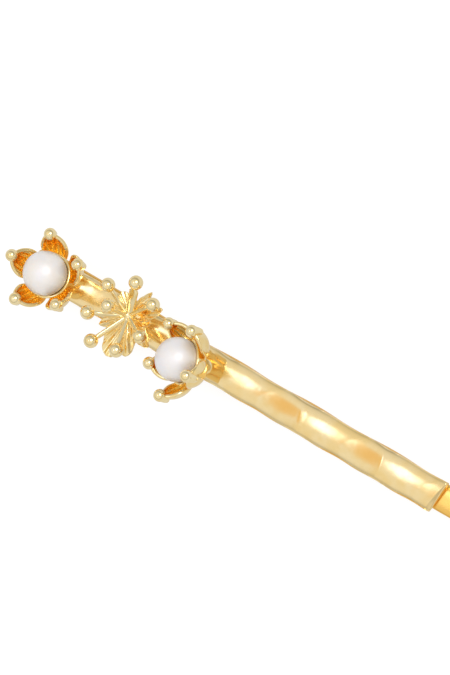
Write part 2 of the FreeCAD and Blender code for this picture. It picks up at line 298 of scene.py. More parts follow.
goldLooks = {
    # pale and deep are the two ends of the plating's colour, satin its roughness range; the back leg's darker
    # orange is painted shade and the ribbed hollows' lighter gold is painted light; grain the size and depth
    # in mm of the fine surface, waves the same for the soft unevenness, the groove shade colour is the
    # painted shade between ribs, stretch how a pattern is drawn out along the strip
    "hammeredGold": dict(pale=(0.95, 0.75, 0.40, 1), deep=(0.93, 0.68, 0.29, 1), patch=1.8,
                         satin=(0.13, 0.22), grain=(0.05, 0.0006), waves=(0.9, 0.010)),
    # darker orange gold for the back leg and bend: painted shade for their place under the front leg; the
    # pattern drawn out along the strip is its real grain
    "shadedDrawnGold": dict(pale=(0.94, 0.58, 0.15, 1), deep=(0.91, 0.50, 0.09, 1), patch=2.4,
                      satin=(0.20, 0.30), grain=(0.05, 0.0012), waves=(1.6, 0.006), stretch=(0.08, 1, 1)),
    "castGold": dict(pale=(0.97, 0.79, 0.43, 1), deep=(0.95, 0.70, 0.28, 1), patch=0.9,
                     satin=(0.10, 0.18), grain=(0.07, 0.0014), waves=(0.5, 0.006)),
    # lighter gold for the petals' ribbed hollows: painted light that brightens them against their real shade
    "ribbedPaintedLightGold": dict(pale=(1.0, 0.90, 0.52, 1), deep=(0.99, 0.82, 0.34, 1), patch=0.4,
                       satin=(0.14, 0.24), grain=(0.06, 0.0030), waves=(0.35, 0.008),
                       grooveShade=(0.95, 0.61, 0.12, 1)),
    "beadGold": dict(pale=(0.96, 0.81, 0.48, 1), deep=(0.94, 0.74, 0.36, 1), patch=0.7,
                     satin=(0.09, 0.16), grain=(0.08, 0.0008), waves=(0.6, 0.004)),
}
platingSockets = {"Metallic": 1.0, "Coat Weight": 0.2, "Coat Roughness": 0.12}    # the same for every gold


def goldMaterial(name, look):
    material, tree, shader, place = newMaterial(name)
    stretch = look.get("stretch", (1, 1, 1))
    patches = noiseAt(tree, place, look["patch"], 3.0, stretch)
    tone = tree.span(patches, *toneSpan, 0.0, 1.0)
    colour = tree.mix(tone, look["pale"], look["deep"])
    # darker orange where the ribs dip: painted shade in the grooves
    if "grooveShade" in look:
        low = tree.add("ShaderNodeAttribute", attribute_name="grooveShade").outputs["Fac"]
        colour = tree.mix(low, colour, look["grooveShade"])
    tree.feed(shader.inputs["Base Color"], colour)
    tree.feed(shader.inputs["Roughness"], tree.span(patches, *satinSpan, *look["satin"]))
    setSockets(shader, platingSockets)
    grainSize, grainDepth = look["grain"]
    waveSize, waveDepth = look["waves"]
    grain = noiseAt(tree, place, grainSize, 2.0, stretch)
    waves = noiseAt(tree, place, waveSize, 1.0, stretch)
    coarse = tree.add("ShaderNodeBump", {"Height": waves, "Distance": waveDepth * mm, "Strength": 1.0})
    fine = tree.add("ShaderNodeBump", {
        "Height": grain, "Distance": grainDepth * mm, "Strength": 1.0, "Normal": coarse.outputs[0]})
    tree.feed(shader.inputs["Normal"], fine.outputs[0])
    return material


pearlLook = {
    "warm": (0.90, 0.83, 0.75, 1),     # the two ends of the nacre's colour
    "cool": (0.86, 0.83, 0.84, 1),
    "patch": 1.8,
    "satin": (0.44, 0.50),
    "skin": (0.35, 0.002),             # size and depth in mm of its fine unevenness
    "sockets": {
        "Subsurface Weight": 0.2, "Subsurface Radius": (1.0, 0.8, 0.7), "Subsurface Scale": 0.4 * mm,
        "IOR": 2.2, "Coat Weight": 1.0, "Coat IOR": 1.8, "Coat Roughness": 0.42,
    },
}


def pearlMaterial(name, look):
    material, tree, shader, place = newMaterial(name)
    clouds = noiseAt(tree, place, look["patch"], 2.0)
    tone = tree.span(clouds, *toneSpan, 0.0, 1.0)
    tree.feed(shader.inputs["Base Color"], tree.mix(tone, look["warm"], look["cool"]))
    tree.feed(shader.inputs["Roughness"], tree.span(clouds, *satinSpan, *look["satin"]))
    setSockets(shader, look["sockets"])
    skinSize, skinDepth = look["skin"]
    skin = noiseAt(tree, place, skinSize, 3.0)
    bump = tree.add("ShaderNodeBump", {"Height": skin, "Distance": skinDepth * mm, "Strength": 1.0})
    tree.feed(shader.inputs["Normal"], bump.outputs[0])
    return material


gold = {name: goldMaterial(name, look) for name, look in goldLooks.items()}
pearlSkin = pearlMaterial("pearlSkin", pearlLook)
print("finishes made")

stripSizes = {
    "squareness": 3.8,     # of the strip's section: 2 is an oval, more is a box
    "sectionPoints": 96,
    "frontStations": 620,
    "endStations": 48,     # on the front leg's last millimetre
    "backStations": 360,
    "backCrowding": 1.25,  # above 1, the back leg's stations crowd towards its end
    "bendStations": 56,
    "straightEnd": 0.8,    # length at the back leg's end that keeps one slope
    "endSoftness": 0.12,   # length over which a cut end is rounded off
    "endThickness": 0.74,  # share of the thickness and of the width left at the very end
    "endWidth": 0.90,
    "bevelShort": 0.12,    # bevel filed on the front end, at its far side and its near side
    "bevelLong": 0.5,
    "bevelDrop": 0.42,
    "endSkew": 0.16,       # the end was snipped slightly askew, over its last stretch
    "skewReach": 4.0,
}
outside = 40               # a distance well clear of the pin, which rays start from
frontLow, frontHigh = nodeBox("front_leg")
backLow, backHigh = nodeBox("back_leg")
face = frontHigh[2]
under = frontLow[2]
thick = face - under
bendMiddle = (face + backLow[2]) / 2
rootHalf = backHigh[1]


def section(halfWidth, halfThick):
    # rounded box outline as (y, z) pairs, evenly spaced
    turn = np.linspace(0, 2 * math.pi, 2401)
    power = 2 / stripSizes["squareness"]
    y = np.sign(np.cos(turn)) * np.abs(np.cos(turn)) ** power * halfWidth
    z = np.sign(np.sin(turn)) * np.abs(np.sin(turn)) ** power * halfThick
    run = np.concatenate([[0], np.cumsum(np.hypot(np.diff(y), np.diff(z)))])
    even = np.linspace(0, run[-1], stripSizes["sectionPoints"], endpoint=False)
    return np.stack([np.interp(even, run, y), np.interp(even, run, z)], 1)


def stripLoops(centres, tangents, halfWidths, halfThicks):
    loops = []
    for centre, tangent, wide, deep in zip(centres, tangents, halfWidths, halfThicks):
        flat = section(wide, deep)
        ahead = unit(tangent)
        up = np.array([-ahead[2], 0, ahead[0]])
        loops.append(np.array(centre) + np.outer(flat[:, 0], [0, 1, 0]) + np.outer(flat[:, 1], up))
    return loops


def rayTo(name, direction):
    # finds where a ray from outside first meets a CAD node
    tree = BVHTree.FromObject(nodes[name], bpy.context.evaluated_depsgraph_get())
    return lambda point: np.array(tree.ray_cast(Vector(point) * mm, Vector(direction))[0]) / mm


def halfWidthAt(name, xs, heights):
    hit = rayTo(name, (0, -1, 0))
    return np.array([abs(hit((x, outside, z))[1]) for x, z in zip(xs, heights)])


def middleLine(name, xs):
    # height of the middle of a CAD strip at stations along X
    fromAbove = rayTo(name, (0, 0, -1))
    fromBelow = rayTo(name, (0, 0, 1))
    return np.array([(fromAbove((x, 0.1, outside))[2] + fromBelow((x, 0.1, -outside))[2]) / 2 for x in xs])


def easeEnd(distance):
    # thickness share near a cut end, which keeps its edges soft
    near = 1 - np.clip(distance / stripSizes["endSoftness"], 0, 1)
    return stripSizes["endThickness"] + (1 - stripSizes["endThickness"]) * np.sqrt(1 - near**2)


def makeBend():
    radius = (face - bendMiddle) - thick / 2
    turns = np.linspace(-math.pi / 2, -3 * math.pi / 2, stripSizes["bendStations"])
    centres = [(radius * math.cos(a), 0, bendMiddle + radius * math.sin(a)) for a in turns]
    tangents = [(math.sin(a), 0, -math.cos(a)) for a in turns]
    count = len(turns)
    loops = stripLoops(centres, tangents, [rootHalf] * count, [thick / 2] * count)
    # the bend gets the darker orange gold, painted shade
    piece = finishPiece(loopLoft("bend_strip", loops, gold["shadedDrawnGold"]), None, "gold_strip", "bend")
    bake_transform(piece)


def makeBackLeg():
    straight = stripSizes["straightEnd"]
    length = backHigh[0]
    early, late = middleLine("back_leg", [length - 2 * straight, length - straight])
    rise = math.atan2(late - early, straight)
    length = length - thick / 2 * abs(math.sin(rise))
    xs = length * (1 - (1 - np.linspace(0, 1, stripSizes["backStations"])) ** stripSizes["backCrowding"])
    xs = np.unique(np.clip(xs, 0.02, length - 0.015))    # just inside the CAD node, where its rays meet it
    heights = middleLine("back_leg", xs)
    widths = halfWidthAt("back_leg", xs, heights)
    xs[0] = 0
    heights = np.convolve(np.pad(heights, 3, mode="edge"), np.ones(7) / 7, mode="valid")
    slopes = np.gradient(heights, xs)
    slopes[xs > length - straight] = math.tan(rise)
    centres = [(x, 0, z) for x, z in zip(xs, heights)]
    tangents = [(1, 0, s) for s in slopes]
    deep = thick / 2 * easeEnd(length - xs)
    # the back leg gets the darker orange gold, painted shade
    piece = loopLoft("back_leg_strip", stripLoops(centres, tangents, widths, deep), gold["shadedDrawnGold"])
    finishPiece(piece, "back", "gold_strip", "back_leg")


hammerSizes = {
    "First dent": 22.4,
    "Spacing": 4.25,
    "Dent radius": 24.0,   # of the hammer's face along the strip
    "Crown radius": 9.0,   # of the strip's rounded back across
    "Depth": 0.21,
    "Wander": 0.45,        # how far a blow strays along the strip
    "Tilt": 0.062,         # slope along, falling on one dent and rising on the next
    "Skew": 0.45,          # how much the rising slope turns across the strip
    "Lens": 0.012,         # curve of the line where two dents meet
    "Start": 3.5,
    "Bulge": 0.022,        # how much a blow spreads the strip
    "Seed": 1307,
    "Face height": 3.2,
}
hammerEase = {
    "between": 0.012,      # rounding where two dents meet
    "around": 0.04,        # and where a dent runs out into the untouched face
    "aroundLevel": 0.02,
    "top": (0.5, 0.12),    # the hammer works the face and fades out between these depths below it
    "run": 2.0,            # length over which the hammering begins
}


def hammerTree():
    tree, sizes = shapeTree("hammeredFace", hammerSizes)
    x, y, z = tree.split(tree.add("GeometryNodeInputPosition").outputs[0])
    count = tree.over(tree.minus(x, sizes["First dent"]), sizes["Spacing"])
    count = tree.math("ROUND", count)
    square = tree.times(y, y)
    reach = None
    centre = None
    for step in (-1, 0, 1):    # the nearest dent and its neighbours
        number = tree.plus(count, float(step))
        second = tree.math("FLOORED_MODULO", number, 2.0)    # 1 on every other dent
        chance = tree.add("FunctionNodeRandomValue", data_type="FLOAT")
        for socket, value in zip((2, 3, 7, 8), (-1.0, 1.0, tree.plus(number, 50.0), sizes["Seed"])):
            tree.feed(chance.inputs[socket], value)
        shift = chance.outputs[1]
        alongDent = tree.math("MULTIPLY_ADD", number, sizes["Spacing"], sizes["First dent"])
        alongDent = tree.math("MULTIPLY_ADD", shift, sizes["Wander"], alongDent)
        dx = tree.minus(x, alongDent)
        bowl = tree.times(dx, dx)
        bowl = tree.over(bowl, tree.times(sizes["Dent radius"], 2.0))
        skewed = tree.math("MULTIPLY_ADD", tree.times(y, sizes["Skew"]), second, dx)
        flip = tree.math("MULTIPLY_ADD", second, 2.0, -1.0)
        lens = tree.times(tree.times(square, sizes["Lens"]), flip)
        slope = tree.times(tree.times(skewed, sizes["Tilt"]), flip)
        bowl = tree.plus(tree.plus(bowl, slope), lens)
        reach = bowl if reach is None else tree.math("SMOOTH_MIN", reach, bowl, hammerEase["between"])
        centre = dx if step == 0 else centre
    drop = tree.minus(reach, sizes["Depth"])
    drop = tree.math("SMOOTH_MIN", drop, hammerEase["aroundLevel"], hammerEase["around"])
    crown = tree.over(square, tree.times(sizes["Crown radius"], -2.0))
    drop = tree.plus(drop, crown)
    deepest, shallowest = (tree.minus(sizes["Face height"], depth) for depth in hammerEase["top"])
    top = tree.span(z, deepest, shallowest, 0.0, 1.0, "SMOOTHSTEP")
    begun = tree.plus(sizes["Start"], hammerEase["run"])
    begun = tree.span(x, sizes["Start"], begun, 0.0, 1.0, "SMOOTHSTEP")
    share = tree.times(top, begun)
    wave = tree.math("COSINE", tree.over(tree.times(centre, 2 * math.pi), sizes["Spacing"]))
    spread = tree.times(tree.times(y, wave), tree.times(begun, sizes["Bulge"]))
    moved = tree.add("GeometryNodeSetPosition", {
        "Geometry": sizes["Geometry"], "Offset": tree.combine(0.0, spread, tree.times(drop, share))})
    deliver(tree, moved.outputs[0], gold["hammeredGold"])
    return tree


def makeFrontLeg():
    length = frontHigh[0]
    xs = np.unique(np.concatenate([
        np.linspace(0, length - 1, stripSizes["frontStations"]),
        np.linspace(length - 1, length, stripSizes["endStations"])]))
    middle = (face + under) / 2
    widths = halfWidthAt("front_leg", np.clip(xs, 0.02, length - 0.4), np.full(len(xs), middle))
    soft = easeEnd(length - xs)
    centres = [(x, 0, middle) for x in xs]
    narrowed = widths * (stripSizes["endWidth"] + (1 - stripSizes["endWidth"]) * soft)
    loops = stripLoops(centres, [(1, 0, 0)] * len(xs), narrowed, thick / 2 * soft)
    piece = loopLoft("front_leg_strip", loops, gold["hammeredGold"])
    piece = grow(piece, hammerTree(), {**hammerSizes, "Face height": float(face)})
    half = widths[-1]
    short, long = stripSizes["bevelShort"], stripSizes["bevelLong"]
    for vertex in piece.data.vertices:
        # the bevel filed across the cut end, wider towards the near side
        across = np.clip((half - vertex.co.y) / (2 * half), 0, 1)
        reach = short + (long - short) * across
        past = max(0.0, vertex.co.x - (length - reach)) / reach
        height = max(0.0, vertex.co.z - under) / thick
        vertex.co.z -= past * stripSizes["bevelDrop"] * height * min(1.0, reach / long + 0.3)
        skewed = float(smooth(length - stripSizes["skewReach"], length, vertex.co.x))
        vertex.co.x += stripSizes["endSkew"] * vertex.co.y * skewed
    finishPiece(piece, "front", "gold_strip", "front_leg", sharp=30)


makeBend()
makeBackLeg()
makeFrontLeg()
print("folded strip made")

flowerSizes = {
    "cupWall": 0.27,
    "cupGap": 0.03,
    "cupDrop": 0.80,       # rim below the pearl's middle
    "rimWave": 0.035,
    "cupRows": (40, 13, 30),    # rows of points outside, over the rim and inside
    "pearlSize": 1.002,    # of the CAD pearl's, and how far its skin swells and sinks
    "pearlLumps": (0.006, 0.004),
    "petalRadius": 2.27,   # outside of the petal's curve, from root to tip
    "crossRadius": 1.65,   # and across
    "curveOut": 1.35,      # that curve's centre, from the flower's axis and above the pearl's middle
    "curveUp": 0.10,
    "rootTurn": -98,
    "tipTurn": 15.5,
    "halfWidth": 1.78,
    "rootHalf": 0.58,
    "widest": 0.54,        # where along the petal it is widest
    "petalTwist": 0.06,    # the most that a petal is turned, and the spread of their widths
    "petalSpread": 0.03,
    "wall": 0.20,          # thickness in the hollow and at the rim
    "rim": 0.36,
    "rimWidth": 0.17,
    "petalStations": 64,
    "tipCrowding": 1.6,    # above 1, a petal's stations crowd towards its tip
    "backPoints": 33,
    "hollowPoints": 91,
    "Ribs": 6.5,
    "Rib depth": 0.075,
    "Bead radius": 0.58,
    "Neck": 0.50,
    "beadOut": 3.456,      # a granule's place from the flower's axis and above the pearl's middle
    "beadUp": 0.667,
    "beadTurn": 15,
    "footRadius": 0.46,    # of the solder post, whose lower end is wider by the flare
    "footFlare": 1.45,
    "footLean": 0.35,
    "footWaist": 0.22,
    "footPoints": 72,
    "footRows": 22,
    "sunk": 0.04,          # how far the post goes into the cup's underside
    "solder": 0.2,         # and into the strip
}


def flowerFrame(flower):
    # pearl's middle and radius, the flower's axis, and the direction of each petal
    low, high = nodeBox(flower + "_pearl")
    radius = round((high[0] - low[0]) / 2, 2)
    centre = np.array([(low[0] + high[0]) / 2, (low[1] + high[1]) / 2, high[2] - radius])
    axis = unit(centre - nodePoints(flower + "_peg").mean(0))
    outs = []
    for k in range(1, 6):
        lean = nodePoints(f"{flower}_petal_{k}").mean(0) - centre
        outs.append(unit(lean - axis * (lean @ axis)))
    return centre, radius, axis, outs


def lathe(name, profile, centre, axis, out, material, count=144, wobble=None):
    # spins (radius, height) pairs about the axis; wobble changes a pair with the angle
    side = np.cross(axis, out)
    turn = np.linspace(0, 2 * math.pi, count, endpoint=False)
    loops = []
    for r, h in profile:
        rr, hh = wobble(r, h, turn) if wobble else (np.full(count, r), np.full(count, h))
        ring = np.outer(rr * np.cos(turn), out) + np.outer(rr * np.sin(turn), side) + np.outer(hh, axis)
        loops.append(centre + ring)
    return loopLoft(name, loops, material)


def makePearl(flower, centre, radius):
    piece = ballObject(flower + "_pearl_drop", 6)
    phase = rng.uniform(0, 6, 3)
    points = pointsOf(piece)
    broad, fine = flowerSizes["pearlLumps"]
    lump = broad * np.sin(points @ np.array([2.1, 1.3, 0.7]) + phase[0])
    lump = lump + fine * np.sin(points @ np.array([-1.9, 3.1, 1.6]) + phase[1])
    placePoints(piece, centre + points * (radius * (flowerSizes["pearlSize"] + lump))[:, None])
    piece.data.materials.append(pearlSkin)
    finishPiece(piece, "front", "pearl", flower + "_pearl", sharp=180)


def makeCup(flower, centre, radius, axis, out):
    inner = radius + flowerSizes["cupGap"]
    outer = inner + flowerSizes["cupWall"]
    drop = flowerSizes["cupDrop"]
    outerTurn = math.asin(drop / outer)
    innerTurn = math.asin(drop / inner)
    outsideRows, rimRows, insideRows = flowerSizes["cupRows"]
    profile = []
    for a in np.linspace(math.pi / 2, outerTurn + 0.03, outsideRows):
        profile.append((outer * math.cos(a), -outer * math.sin(a)))
    rimMiddle = (outer * math.cos(outerTurn) + inner * math.cos(innerTurn)) / 2
    rimHalf = (outer * math.cos(outerTurn) - inner * math.cos(innerTurn)) / 2
    for a in np.linspace(0.25, math.pi - 0.25, rimRows):
        profile.append((rimMiddle + rimHalf * math.cos(a), rimHalf * math.sin(a) * 0.8 - drop))
    for a in np.linspace(innerTurn + 0.03, math.pi / 2, insideRows):
        profile.append((inner * math.cos(a), -inner * math.sin(a)))
    phase = rng.uniform(0, 6)

    def wave(r, h, turn):
        # the rim was pressed on the pearl by hand, so it wanders a little
        share = smooth(-1.2, -drop, h) * flowerSizes["rimWave"]
        lift = share * (np.sin(3 * turn + phase) - 0.3)
        return r + share * 0.4 * np.sin(5 * turn + phase), h + lift

    piece = lathe(flower + "_bezel_cup", profile, centre, axis, out, gold["castGold"], wobble=wave)
    finishPiece(piece, "front", "gold_cast", flower + "_cup")


def makeFoot(flower, centre, radius, axis, out):
    # a post from the strip's face up into the cup's underside, flared where the solder ran
    side = np.cross(axis, out)
    count = flowerSizes["footPoints"]
    turn = np.linspace(0, 2 * math.pi, count, endpoint=False)
    ring = np.outer(np.cos(turn), out) + np.outer(np.sin(turn), side)
    cupOut = radius + flowerSizes["cupGap"] + flowerSizes["cupWall"] - flowerSizes["sunk"]
    narrow = flowerSizes["footRadius"]
    upper = centre + narrow * ring - axis * math.sqrt(cupOut**2 - narrow**2)
    wide = narrow * flowerSizes["footFlare"]
    spot = upper.mean(0) - axis * flowerSizes["footLean"]
    level = np.full(count, face - flowerSizes["solder"])
    lower = np.stack([spot[0] + wide * np.cos(turn), spot[1] + wide * np.sin(turn), level], 1)
    start = np.argmin([np.linalg.norm(np.roll(lower, k, 0) - upper) for k in range(count)])
    lower = np.roll(lower, start, 0)
    loops = []
    for t in np.linspace(0, 1, flowerSizes["footRows"]):
        waist = 1 - flowerSizes["footWaist"] * math.sin(math.pi * t**0.8)
        rows = lower + (upper - lower) * t
        middle = rows.mean(0)
        loops.append(middle + (rows - middle) * waist)
    piece = loopLoft(flower + "_solder_post", loops, gold["castGold"])
    finishPiece(piece, "front", "gold_cast", flower + "_foot")


def ribTree():
    # raised ribs that run along a petal's hollow and fade at its rim; the hollow gets a lighter gold, painted
    # light, and the grooves between the ribs a darker orange, painted shade
    tree, sizes = shapeTree("petalRibs", {name: flowerSizes[name] for name in ("Ribs", "Rib depth")})
    hollow = tree.attribute("hollow")
    across = tree.attribute("across")
    wave = tree.math("COSINE", tree.times(across, tree.times(sizes["Ribs"], 2 * math.pi)))
    lift = tree.times(tree.times(wave, hollow), sizes["Rib depth"])
    normal = tree.add("GeometryNodeInputNormal").outputs[0]
    moved = tree.add("GeometryNodeSetPosition", {
        "Geometry": sizes["Geometry"], "Offset": tree.scaled(normal, lift)})
    inside = tree.math("GREATER_THAN", hollow, 0.35)
    # how much painted shade each point gets, most in the valleys between ribs
    grooveShade = tree.span(wave, 0.5, -1.0, 0.0, 1.0)
    marked = tree.add("GeometryNodeStoreNamedAttribute", {
        "Geometry": moved.outputs[0], "Name": "grooveShade", "Value": grooveShade})
    # the hollow gets the lighter gold, painted light, with the painted shade of the grooves mixed in
    deliver(tree, marked.outputs[0], gold["castGold"], (inside, gold["ribbedPaintedLightGold"]))
    return tree


def petalWidth(share, wide):
    # half width along the petal: swelling from the root, then closing over a round tip
    widest = flowerSizes["widest"]
    root = flowerSizes["rootHalf"]
    low = root + (wide - root) * np.sin(np.clip(share / widest, 0, 1) * math.pi / 2) ** 0.9
    past = np.clip(share - widest, 0, 1) / (1.001 - widest)
    high = wide * np.clip(1 - past**1.9, 0, 1) ** 0.75
    return np.where(share < widest, low, high)


def makePetal(flower, number, centre, axis, out, tree):
    # a spoon: an outer skin bent along and across, a hollow inside it and a thicker rim round it
    side = np.cross(axis, out)
    twist = rng.uniform(-flowerSizes["petalTwist"], flowerSizes["petalTwist"])
    spread = flowerSizes["petalSpread"]
    wide = flowerSizes["halfWidth"] * rng.uniform(1 - spread, 1 + spread)
    root, tip = (math.radians(flowerSizes[key]) for key in ("rootTurn", "tipTurn"))
    radius = flowerSizes["petalRadius"]
    cross = flowerSizes["crossRadius"]
    middle = centre + out * flowerSizes["curveOut"] + axis * flowerSizes["curveUp"]
    shares = 1 - (1 - np.linspace(0, 1, flowerSizes["petalStations"])) ** flowerSizes["tipCrowding"]
    shares = np.unique(np.clip(shares, 0, 0.9985))    # short of the very tip, which has no width
    widths = petalWidth(shares, wide)
    slopes = np.gradient(widths, shares * (tip - root) * radius)
    back = np.sin(np.linspace(-1, 1, flowerSizes["backPoints"]) * math.pi / 2)
    hollow = np.sin(np.linspace(1, -1, flowerSizes["hollowPoints"] + 2)[1:-1] * math.pi / 2)
    rim = flowerSizes["rim"] / 2
    loops, hollowShare, acrossShare = [], [], []
    for share, width, slope in zip(shares, widths, slopes):
        turn = root + (tip - root) * share
        spine = math.cos(turn) * out + math.sin(turn) * axis
        for places, inside in ((back, False), (hollow, True)):
            s = places * width
            edge = (width - np.abs(s)) / math.sqrt(1 + slope**2)
            rounded = np.sqrt(1 - (1 - np.clip(edge / rim, 0, 1)) ** 2)
            sunk = smooth(flowerSizes["rimWidth"], flowerSizes["rimWidth"] * 1.7, edge)
            wall = flowerSizes["rim"] + (flowerSizes["wall"] - flowerSizes["rim"]) * sunk
            depth = rim + (wall - rim) * rounded if inside else rim * (1 - rounded)
            bent = s / cross + twist * (share - 0.5)
            ring = np.outer(np.cos(bent), spine) + np.outer(np.sin(bent), side)
            loops.append(middle + spine * (radius - cross) + ring * (cross - depth)[:, None])
            hollowShare.append(sunk * float(inside) * smooth(0, 0.05, share))
            acrossShare.append(s / max(width, 0.3) * 0.5)
    rows = [np.concatenate(loops[i:i + 2]) for i in range(0, len(loops), 2)]
    name = f"{flower}_petal_{number}_spoon"
    piece = meshObject(name, np.concatenate(rows), loftFaces(len(rows), len(rows[0])), gold["castGold"])
    storeOnPoints(piece, "hollow", hollowShare)
    storeOnPoints(piece, "across", acrossShare)
    piece = grow(cleanUp(piece, merge=0), tree, flowerSizes)
    finishPiece(piece, "front", "gold_cast", f"{flower}_petal_{number}", sharp=60)


def granuleTree():
    # a gold granule at each point, drawn out into a neck along the point's aim
    tree, sizes = shapeTree("tipGranules", {name: flowerSizes[name] for name in ("Bead radius", "Neck")})
    ball = tree.add("GeometryNodeMeshUVSphere", {"Segments": 44, "Rings": 34, "Radius": sizes["Bead radius"]})
    x, y, z = tree.split(tree.add("GeometryNodeInputPosition").outputs[0])
    below = tree.over(tree.times(z, -1.0), sizes["Bead radius"])
    drawn = tree.span(below, 0.55, 1.0, 0.0, 1.0, "SMOOTHSTEP")
    lower = tree.times(tree.times(drawn, sizes["Neck"]), -1.0)
    drop = tree.add("GeometryNodeSetPosition", {
        "Geometry": ball.outputs["Mesh"], "Offset": tree.combine(0.0, 0.0, lower)})
    aim = tree.add("GeometryNodeInputNamedAttribute", {"Name": "aim"}, data_type="FLOAT_VECTOR").outputs[0]
    turned = tree.add("FunctionNodeAlignRotationToVector", {"Vector": aim}, axis="Z").outputs[0]
    spread = tree.add("GeometryNodeInstanceOnPoints", {
        "Points": sizes["Geometry"], "Instance": drop.outputs[0], "Rotation": turned})
    deliver(tree, spread.outputs[0], gold["beadGold"])
    return tree


def makeBeads(flower, centre, axis, outs):
    turn = math.radians(flowerSizes["beadTurn"])
    points = [centre + out * flowerSizes["beadOut"] + axis * flowerSizes["beadUp"] for out in outs]
    aims = [-math.sin(turn) * out + math.cos(turn) * axis for out in outs]
    piece = meshObject(flower + "_tip_beads", points, [])
    storeOnPoints(piece, "aim", aims, "FLOAT_VECTOR")
    piece = grow(piece, granuleTree(), flowerSizes)
    finishPiece(piece, "front", "gold_cast", flower + "_beads", sharp=60)


ribs = ribTree()
for flower in ("end", "inner"):
    centre, radius, axis, outs = flowerFrame(flower)
    makeFoot(flower, centre, radius, axis, outs[0])
    makeCup(flower, centre, radius, axis, outs[0])
    makePearl(flower, centre, radius)
    for number, out in enumerate(outs, 1):
        makePetal(flower, number, centre, axis, out, ribs)
    makeBeads(flower, centre, axis, outs)
    nodes[flower + "_peg"].data.materials[0] = gold["castGold"]
    print(flower, "flower made")

starSizes = {
    "hubFlat": 0.88,
    "Root radius": 0.20,
    "Tip radius": 0.22,
    "Ball radius": 0.66,
    "Ridge depth": 0.025,
    "Ridges": 3.0,
    "Widen": 1.0,
    "Length": 3.0,
    "flatWire": 2,         # the stamen that was rolled flat, and its own sizes
    "flatSizes": {"Widen": 1.9, "Ridges": 2.0, "Ridge depth": 0.05},
    "neckBlend": 0.10,     # rounding where a wire meets its ball
    "stemPoints": 22,
    "ballPoints": 30,
    "hubLow": 0.58,        # of the hub's radius between the wires
    "hubRidge": 0.44,      # and how much more at a wire
    "ridgeTightness": 14,
    "veins": 34,
    "veinDepth": 0.045,
    "veinFrom": (0.8, 1.5),    # the veins fade in between these distances from the middle
    "grain": 0.04,         # size of the cells that run the leaves together
    "post": 0.11,          # how far the star's post sinks into the strip
}
leafSizes = {
    "root": 0.3,           # distance of a leaf's root from the middle
    "rows": 34,
    "across": 17,
    "wall": 0.27,
    "rootShare": 0.42,     # of the leaf's half width at its root
    "swell": 0.55,         # where along the leaf it reaches its full width
    "hump": 0.1,
    "strip": 0.35,         # half width of the stretch of the CAD rosette that sets a leaf's length
    "disc": [(0.01, -0.28), (1.0, -0.28), (1.2, -0.1), (1.05, 0.1), (0.6, 0.2), (0.01, 0.22)],
}
leafLooks = [
    # turn in degrees, half width, how far the tip rises, how blunt the tip is, fold height
    dict(turn=10, half=0.80, rise=0.30, blunt=0.80, fold=-0.70),
    dict(turn=37, half=0.98, rise=0.50, blunt=0.55, fold=-0.42),
    dict(turn=70, half=0.66, rise=0.42, blunt=0.15, fold=0.48),
    dict(turn=135, half=0.84, rise=0.15, blunt=0.85, fold=-0.18),
    dict(turn=180, half=0.74, rise=0.10, blunt=0.90, fold=-0.20),
    dict(turn=221, half=0.80, rise=0.12, blunt=0.60, fold=0.20),
    dict(turn=266, half=1.30, rise=0.22, blunt=1.00, fold=-0.34),
    dict(turn=292, half=0.86, rise=0.30, blunt=1.00, fold=0.60),
    dict(turn=331, half=0.92, rise=0.35, blunt=0.55, fold=-0.48),
]
hubLow, hubHigh = nodeBox("star_hub")
hubRadius = (hubHigh[0] - hubLow[0]) / 2
hubCentre = (hubLow + hubHigh) / 2
hubCentre[2] = hubHigh[2] - hubRadius
alongX, upright = np.array([1.0, 0, 0]), np.array([0, 0, 1.0])


def stamenFrame(number):
    # direction and length, from the hub's middle to the ball's
    rays = nodePoints(f"star_stamen_{number}") - hubCentre
    far = np.linalg.norm(rays, axis=1)
    ball = starSizes["Ball radius"]
    length = far.max() - ball
    way = unit(rays[far > length].mean(0))
    return way, length


